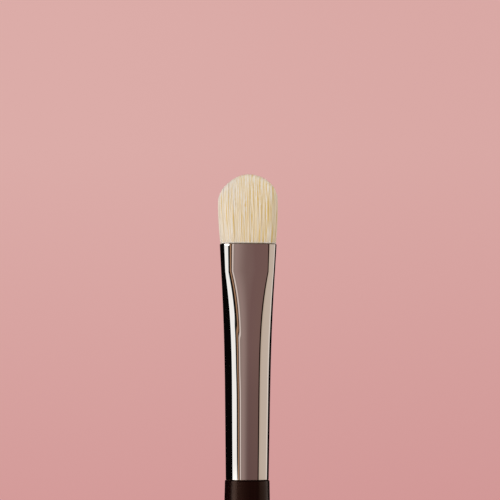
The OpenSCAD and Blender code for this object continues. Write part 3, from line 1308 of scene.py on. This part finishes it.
    def _pattern(self, steps: int) -> tuple[list[tuple[int, ...]], list[Pair]]:
        """Plan the faces of one filament and its place on a flat map.

        Args:
            steps: How many rings of four points it has below its tip.

        Returns:
            Each face's points, and each corner's place on the map, 0 to 1.
        """
        faces: list[tuple[int, ...]] = []
        flat: list[Pair] = []
        for k in range(steps - 1):
            for i in range(4):
                n = (i + 1) % 4
                faces.append((4 * k + i, 4 * k + n, 4 * k + 4 + n, 4 * k + 4 + i))
                low, high = k / steps, (k + 1) / steps
                flat += [(i / 4, low), ((i + 1) / 4, low), ((i + 1) / 4, high), (i / 4, high)]
        top = 4 * (steps - 1)
        for i in range(4):
            faces.append((top + i, top + (i + 1) % 4, top + 4))
            flat += [(i / 4, (steps - 1) / steps), ((i + 1) / 4, (steps - 1) / steps),
                     ((i + 0.5) / 4, 1.0)]
        faces.append((3, 2, 1, 0))
        flat += [(i / 4, self.map_foot) for i in (3, 2, 1, 0)]
        return faces, flat

    def section_mesh(self, name: str, lines: Array, tones: Array, girth: Array) -> Mesh:
        """Turn some of the filaments into one mesh of slim closed four-sided tubes.

        Args:
            name: The mesh's name.
            lines: Their centre lines.
            tones: Their tones at each step.
            girth: Their radii.

        Returns:
            The mesh, with each filament's tone and its own small place on a flat map.
        """
        count, steps = lines.shape[:2]
        rng = np.random.default_rng(self.turn_seed)
        quarter = math.pi / 2
        spin = rng.uniform(0, quarter, count)[:, None] + np.arange(4) * quarter
        radius = girth[:, None] * np.array(self.girth)
        across = np.stack([np.cos(spin), np.sin(spin), np.zeros_like(spin)], -1)
        walls = lines[:, :, None, :] + radius[:, :, None, None] * across[:, None, :, :]
        last = lines[:, -1] - lines[:, -2]
        tips = lines[:, -1] + last / np.linalg.norm(last, axis=1)[:, None] * self.tip_len
        each = steps * 4 + 1
        points = np.concatenate([walls.reshape(count, -1, 3), tips[:, None]], 1).reshape(-1, 3)

        faces, flat = self._pattern(steps)
        shifted = [[each * k + corner for corner in face] for k in range(count) for face in faces]
        mesh = bpy.data.meshes.new(name)
        mesh.from_pydata(points, [], shifted, shade_flat=False)

        grid = math.ceil(math.sqrt(count))
        cell = np.stack([np.arange(count) % grid, np.arange(count) // grid], -1)
        inner = self.map_margin + (1 - 2 * self.map_margin) * np.array(flat)
        places = (cell[:, None] + inner) / grid
        mesh.uv_layers.new(name="OFBake").data.foreach_set("uv", places.ravel())
        values = mesh.attributes.new(self.finish.tone_name, "FLOAT", "POINT")
        spread = np.concatenate([np.repeat(tones, 4, axis=1), tones[:, -1:]], 1)
        values.data.foreach_set("value", spread.ravel())
        return mesh

    def root_mesh(self) -> Mesh:
        """Make the bonded root: one block with a waist where the thread sits.

        Returns:
            The root's mesh.
        """
        outside = self.tube.wall + self.fit_gap
        waist = outside + self.thread_d + self.fit_gap
        low = self.thread_depth + self.thread_len + self.seat_gap
        high = self.thread_depth - self.seat_gap
        bevel = self.root_bevel
        places = [(self.root_len, outside + bevel), (self.root_len - bevel, outside),
                  (low, outside), (low, waist), (high, waist), (high, outside),
                  *((depth, outside) for depth in (self.tube.land_len, *self.root_depths)),
                  (self.root_top, outside + self.fit_gap)]
        rings = [self.tube.ring(depth, inset, self.root_sides) for depth, inset in places]
        return loft("tuft_root", rings, joined=False)

    def build(self) -> list[Object]:
        """Build the hair in sections from left to right, and its root.

        Returns:
            The sections from left to right, and the root.
        """
        lines, tones, girth = self.centre_lines()
        material = self.finish.material()
        order = np.argsort(lines[:, 0, 0], kind="stable")
        pieces = []
        for number, chosen in enumerate(np.array_split(order, self.sections), 1):
            name = f"tuft_section_{number}"
            mesh = self.section_mesh(name, lines[chosen], tones[chosen], girth[chosen])
            pieces.append(make_piece(name, mesh, ["hair_tuft"], [material]))
        pieces.append(make_piece("tuft_root", self.root_mesh(), ["hair_tuft"],
                                 [self.root_finish.material()]))
        return pieces


# What the ferrule hides


@dataclass
class Binding:
    """The thread round the root, the resin plug under it and the glue round the tenon."""

    tube: PressedTube = PressedTube()
    thread_finish: WaxedThread = WaxedThread()
    resin_finish: SetGlue = SetGlue("root_resin_amber", (0.55, 0.31, 0.09), 0.16)
    glue_finish: SetGlue = SetGlue("tenon_glue", (0.72, 0.62, 0.38), 0.34,
                                   cloud_colour=(0.86, 0.80, 0.64))
    thread_d: float = 0.3 * MM
    turns: int = 6
    first_depth: float = 5.6 * MM
    fit_gap: float = 0.03 * MM
    steps_per_turn: int = 96
    thread_sides: int = 10
    thread_draw: float = 0.985
    sharp_angle: float = 60.0

    def thread_line(self) -> Array:
        """Trace the thread's centre line, which climbs steadily round the root.

        Returns:
            The line's points, one row each, from the lowest up.
        """
        inset = self.tube.wall + self.fit_gap + self.thread_d / 2
        total = (self.turns - 1) * self.steps_per_turn
        lowest = self.first_depth + (self.turns - 0.5) * self.thread_d
        points = []
        for k in range(total + 1):
            depth = lowest - self.thread_d * k / self.steps_per_turn
            ring = self.tube.ring(depth, inset, self.steps_per_turn)
            points.append(ring[k % self.steps_per_turn])
        return np.array(points)

    def thread_mesh(self) -> Mesh:
        """Sweep the thread along its line.

        Returns:
            The thread's mesh.
        """
        line = self.thread_line()
        along = np.gradient(line, axis=0)
        along /= np.linalg.norm(along, axis=1)[:, None]
        side = np.cross(along, (0, 0, 1))
        side /= np.linalg.norm(side, axis=1)[:, None]
        up = np.cross(side, along)
        turn = np.linspace(0, 2 * math.pi, self.thread_sides, endpoint=False)
        r = self.thread_d / 2 * self.thread_draw
        rings = [p + r * (np.outer(np.cos(turn), s) + np.outer(np.sin(turn), w))
                 for p, s, w in zip(line, side, up)]
        return loft("binding_winding", rings, joined=False, sharp_angle=self.sharp_angle)

    @staticmethod
    def dress(node: Object, finish: SetGlue) -> None:
        """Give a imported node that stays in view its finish."""
        node.material_slots[0].material = finish.material()
        LOG.info("%s: dressed as %s", node.name, finish.name)

    def build(self, nodes: Mapping[str, Object]) -> Object:
        """Build the thread and dress the resin and the glue.

        Args:
            nodes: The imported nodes, by name.

        Returns:
            The thread.
        """
        self.dress(nodes["root_resin"], self.resin_finish)
        self.dress(nodes["tenon_adhesive"], self.glue_finish)
        return make_piece("binding_winding", self.thread_mesh(), ["binding_thread"],
                          [self.thread_finish.material()])


# The studio


@dataclass(frozen=True)
class Card:
    """One thing round the brush that bright metal mirrors.

    It starts at an angle, seen from above, in degrees from the camera's side, with left
    negative, and ends where the next one starts. Its colours are those that it has in the
    metal, 0 to 255: at its left and, where that differs, at its right.
    """

    start: float
    left: tuple[int, int, int]
    right: Optional[tuple[int, int, int]] = None

    def colours(self) -> tuple[Colour, Colour]:
        """Return its colours at the left and at the right, in linear light."""
        return shown(*self.left), shown(*(self.right or self.left))


@dataclass(frozen=True)
class Lamp:
    """A soft lamp that isn't seen in reflections."""

    name: str
    place: Place
    size: float
    level: float
    colour: Colour


@dataclass
class Studio:
    """Floor, surroundings and lamps.

    A turn is a direction seen from above, in degrees like a card's. A rise is the upward part
    of a direction of length 1. A pair says where a change starts and where it is complete.
    """

    metal: Colour = PolishedNickel.colour
    backdrop_top: Colour = shown(220, 172, 168)
    backdrop_low: Colour = shown(211, 152, 151)
    backdrop_side: Colour = shown(176, 84, 92)
    backdrop_rises: Pair = (-0.08, 0.11)
    backdrop_sides: Pair = (-0.1, 0.12)
    backdrop_side_share: float = 0.06
    ambient: Colour = (0.56, 0.545, 0.53)
    floor_bounce: Colour = (0.56, 0.52, 0.47)
    # Painted shade on the floor's far side, as reflections see it.
    floor_painted_shade: Colour = (0.07, 0.06, 0.058)
    floor_fade: Pair = (0.35, 0.97)
    floor_radius: float = 0.9
    floor_sides: int = 128
    lit_side: Place = (-0.57, -0.82, 0.0)
    lit_range: Pair = (-0.5, 0.95)
    aim: Place = (0.0, 0.0, 0.145)
    upper_turns: Span = (-57.0, -47.0, -33.0, -20.0)
    upper_rises: Pair = (0.05, 0.068)
    upper_bend: float = 3.3
    middle_turns: Span = (-72.0, -62.0, -33.0, -20.0)
    middle_rises: Span = (-0.035, 0.0, 0.045, 0.062)
    middle_bend: float = -3.0
    front_turns: Span = (-25.0, 0.0, 56.0, 64.0)
    front_rises: Pair = (0.05, -0.3)
    front_shades: Pair = (0.8, 0.95)
    right_turns: Span = (56.0, 64.0, 125.0, 170.0)
    right_shade: float = 0.9
    left_turns: Span = (-85.0, -80.0, -57.0, -47.0)
    bright_card: Colour = (6.0, 5.7, 5.4)
    under_rises: Pair = (-0.055, -0.11)
    over_rises: Pair = (0.12, 0.18)
    ceiling_rises: Pair = (0.3, 0.35)
    ceiling: Colour = (0.02, 0.013, 0.011)
    cards: tuple[Card, ...] = (
        Card(-180, (206, 150, 148), (6, 4, 4)),
        Card(-170, (6, 4, 4)),
        Card(-84.8, (251, 249, 246), (240, 236, 231)),
        Card(-79.5, (240, 236, 231), (237, 232, 227)),
        Card(-63.5, (237, 232, 227), (251, 250, 247)),
        Card(-57.6, (8, 6, 5)),
        Card(-50.3, (156, 118, 90)),
        Card(-44.6, (40, 24, 16)),
        Card(-39.8, (206, 188, 180)),
        Card(-33.8, (132, 112, 105), (142, 121, 114)),
        Card(-28, (142, 121, 114), (142, 118, 112)),
        Card(-20, (142, 118, 112), (131, 108, 102)),
        Card(-10, (131, 108, 102), (115, 90, 85)),
        Card(0, (115, 90, 85), (110, 83, 79)),
        Card(10, (110, 83, 79), (112, 85, 79)),
        Card(56.6, (20, 5, 2)),
        Card(64.6, (180, 160, 142), (188, 170, 155)),
        Card(74, (188, 170, 155), (190, 173, 159)),
        Card(119, (216, 202, 191)),
        Card(130, (6, 4, 4)),
        Card(170, (6, 4, 4), (206, 150, 148)),
    )
    seam: float = 0.2
    lamps: tuple[Lamp, ...] = (
        Lamp("key_left", (-0.36, -0.52, 0.30), 0.42, 0.44, (1.0, 0.985, 0.96)),
        Lamp("fill_right", (0.55, -0.42, 0.20), 0.5, 0.14, (1.0, 0.96, 0.92)),
        Lamp("top_right", (0.45, 0.2, 0.47), 0.5, 0.19, (1.0, 0.98, 0.96)),
        Lamp("back_left", (-0.35, 0.55, 0.35), 0.5, 0.34, (1.0, 0.98, 0.96)),
    )

    def build_world(self) -> None:
        """Set the surroundings: what the camera, what bright metal and what light itself sees."""
        world = bpy.data.worlds.new("studio")
        bpy.context.scene.world = world
        world.use_nodes = True
        sheet = NodeSheet(world.node_tree)
        way = sheet.add("TexCoord").outputs["Generated"]
        x, y, z = sheet.add("SeparateXYZ", {0: way}).outputs
        mirrored = self._mirrored(sheet, x, y, z)
        backdrop = sheet.blend(sheet.range(z, *self.backdrop_rises, smooth=False),
                               self.backdrop_low, self.backdrop_top)
        side = sheet.range(x, *self.backdrop_sides, 0.0, self.backdrop_side_share)
        backdrop = sheet.blend(side, backdrop, self.backdrop_side)
        rays = sheet.add("LightPath").outputs
        gloss = sheet.math("MAXIMUM", rays["Is Glossy Ray"], rays["Is Transmission Ray"])
        light = sheet.blend(gloss, self.ambient, mirrored)
        seen = sheet.blend(rays["Is Camera Ray"], light, backdrop)
        surface = sheet.add("Background", {"Color": seen, "Strength": 1.0})
        sheet.add("OutputWorld", {"Surface": surface.outputs[0]})
        LOG.info("studio: %d cards round the brush", len(self.cards))

    def _mirrored(self, sheet: NodeSheet, x: NodeSocket, y: NodeSocket, z: NodeSocket) -> NodeSocket:
        """Set what bright metal mirrors: the cards, bent a little, and shaded low and high up.

        Args:
            sheet: The world's nodes.
            x: The direction's part to the right.
            y: The direction's part away from the camera.
            z: The direction's rise.

        Returns:
            The mirrored colour.
        """
        turn = sheet.math("DEGREES", sheet.math("ARCTAN2", x, sheet.times(y, -1.0)))
        upper = sheet.times(sheet.window(turn, self.upper_turns),
                            sheet.range(z, *self.upper_rises, 0.0, self.upper_bend))
        middle = sheet.times(sheet.window(z, self.middle_rises), self.middle_bend)
        bent = sheet.math("MULTIPLY_ADD", sheet.window(turn, self.middle_turns), middle, upper)
        place = sheet.range(sheet.math("SUBTRACT", turn, bent), -180.0, 180.0, smooth=False)
        ramp = sheet.add("ValToRGB", {0: place})
        self._fill_ramp(ramp.color_ramp)
        under = sheet.range(z, *self.under_rises)
        beyond = sheet.math("MAXIMUM", under, sheet.range(z, *self.over_rises))
        low_shade, under_shade = self.front_shades
        front = sheet.math("MAXIMUM", sheet.range(z, *self.front_rises, 0.0, low_shade),
                           sheet.times(under, under_shade))
        front = sheet.times(sheet.window(turn, self.front_turns), front)
        right = sheet.times(sheet.times(sheet.window(turn, self.right_turns), under), self.right_shade)
        cards = sheet.blend(sheet.math("MAXIMUM", front, right), ramp.outputs[0], (0, 0, 0))
        left = sheet.times(sheet.window(turn, self.left_turns), beyond)
        cards = sheet.blend(left, cards, self.bright_card)
        return sheet.blend(sheet.range(z, *self.ceiling_rises), cards, self.ceiling)

    def _fill_ramp(self, ramp: ColorRamp) -> None:
        """Write the cards into a ramp that runs once round the brush.

        Args:
            ramp: The ramp, from -180 to 180 degrees.
        """
        ramp.interpolation = "LINEAR"
        stops: list[tuple[float, Colour]] = []
        for number, card in enumerate(self.cards):
            left, right = card.colours()
            stops.append(((card.start + 180 + self.seam) / 360, left))
            after = self.cards[number + 1] if number + 1 < len(self.cards) else None
            end = after.start if after else 180.0
            if after is None or after.colours()[0] != right:
                stops.append(((end + 180 - self.seam) / 360, right))
        while len(ramp.elements) > 1:
            ramp.elements.remove(ramp.elements[-1])
        for number, (place, colour) in enumerate(stops):
            stop = ramp.elements[0] if number == 0 else ramp.elements.new(place)
            stop.position = place
            stop.color = (*(c / m for c, m in zip(colour, self.metal)), 1.0)

    def build_lamps(self) -> None:
        """Hang the lamps, each at a level where a facing colour gains its share."""
        for lamp in self.lamps:
            light = bpy.data.lights.new(lamp.name, "AREA")
            away = Vector(lamp.place) - Vector(self.aim)
            light.energy = lamp.level * math.pi ** 2 * away.length_squared
            light.size = lamp.size
            light.color = lamp.colour
            holder = make_object(lamp.name, light)
            holder.location = lamp.place
            holder.rotation_mode = "QUATERNION"
            holder.rotation_quaternion = away.to_track_quat("Z", "Y")
            holder.visible_camera = False
            holder.visible_glossy = False
        LOG.info("studio: %d lamps", len(self.lamps))

    def _floor_paint(self) -> Material:
        """Paint the floor as the backdrop, and in reflections as lit from one side.

        Returns:
            The floor's material.
        """
        material = bpy.data.materials.new("floor_paint")
        material.use_nodes = True
        sheet = NodeSheet(material.node_tree)
        own = sheet.add("TexCoord").outputs["Object"]
        away = sheet.add("VectorMath", {0: own}, operation="LENGTH").outputs["Value"]
        fade = sheet.range(away, *(share * self.floor_radius for share in self.floor_fade))
        outward = sheet.add("VectorMath", {0: own}, operation="NORMALIZE").outputs[0]
        side = sheet.add("VectorMath", {0: outward, 1: self.lit_side}, operation="DOT_PRODUCT")
        # In reflections the floor has painted light on one side and painted shade on the other.
        lit = sheet.range(side.outputs["Value"], *self.lit_range)
        mirrored = sheet.blend(lit, self.floor_painted_shade, self.floor_bounce)
        rays = sheet.add("LightPath").outputs
        colour = sheet.blend(rays["Is Glossy Ray"], self.floor_bounce, mirrored)
        colour = sheet.blend(rays["Is Camera Ray"], colour, self.backdrop_low)
        paint, clear = sheet.add("BsdfDiffuse", {"Color": colour}), sheet.add("BsdfTransparent")
        surface = sheet.add("MixShader", {0: fade, 1: paint.outputs[0], 2: clear.outputs[0]})
        sheet.add("OutputMaterial", {"Surface": surface.outputs[0]})
        return material

    def build_floor(self) -> Object:
        """Lay a plain round floor that fades out towards its edge.

        Returns:
            The floor.
        """
        mesh = bpy.data.meshes.new("floor")
        shape = bmesh.new()
        bmesh.ops.create_circle(shape, cap_ends=True, segments=self.floor_sides,
                                radius=self.floor_radius)
        shape.to_mesh(mesh)
        shape.free()
        mesh.materials.append(self._floor_paint())
        floor = make_object("floor", mesh)
        LOG.info("studio: floor %.1f m across", 2 * self.floor_radius)
        return floor

    def build(self) -> None:
        """Build the whole studio."""
        self.build_world()
        self.build_lamps()
        self.build_floor()


@dataclass
class Viewpoint:
    """The camera: level with the ferrule and looking up a little at the tuft."""

    distance: float = 0.360
    height: float = 0.1344
    aim_x: float = 0.31 * MM
    aim_z: float = 0.15772
    frame_height: float = 83.66 * MM
    roll: float = 0.23
    sensor: float = 36.0
    clip: Pair = (0.01, 20.0)

    def build(self) -> Object:
        """Place the camera and make it the scene's own.

        Returns:
            The camera.
        """
        lens = bpy.data.cameras.new("camera")
        lens.sensor_width = self.sensor
        place = Vector((self.aim_x, -self.distance, self.height))
        ahead = Vector((self.aim_x, 0.0, self.aim_z)) - place
        lens.lens = self.sensor * ahead.length / self.frame_height
        lens.clip_start, lens.clip_end = self.clip
        camera = make_object("camera", lens)
        camera.location = place
        camera.rotation_euler = ahead.to_track_quat("-Z", "Y").to_euler()
        camera.rotation_euler.rotate_axis("Z", math.radians(self.roll))
        bpy.context.scene.camera = camera
        LOG.info("camera: %.1f mm lens, %.0f mm away", lens.lens, ahead.length / MM)
        return camera


# The whole


def main() -> None:
    """Build the brush piece by piece, then the studio and the camera."""
    logging.basicConfig(level=logging.INFO, format="%(name)s: %(message)s", force=True)
    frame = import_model()
    bpy.context.scene.view_settings.view_transform = "Standard"
    Viewpoint().build()
    tube = PressedTube()
    Handle().build()
    Binding(tube).build(frame["nodes"])
    Ferrule(tube).build()
    Tuft(tube).build()
    Studio().build()


if __name__ == "__main__":
    main()
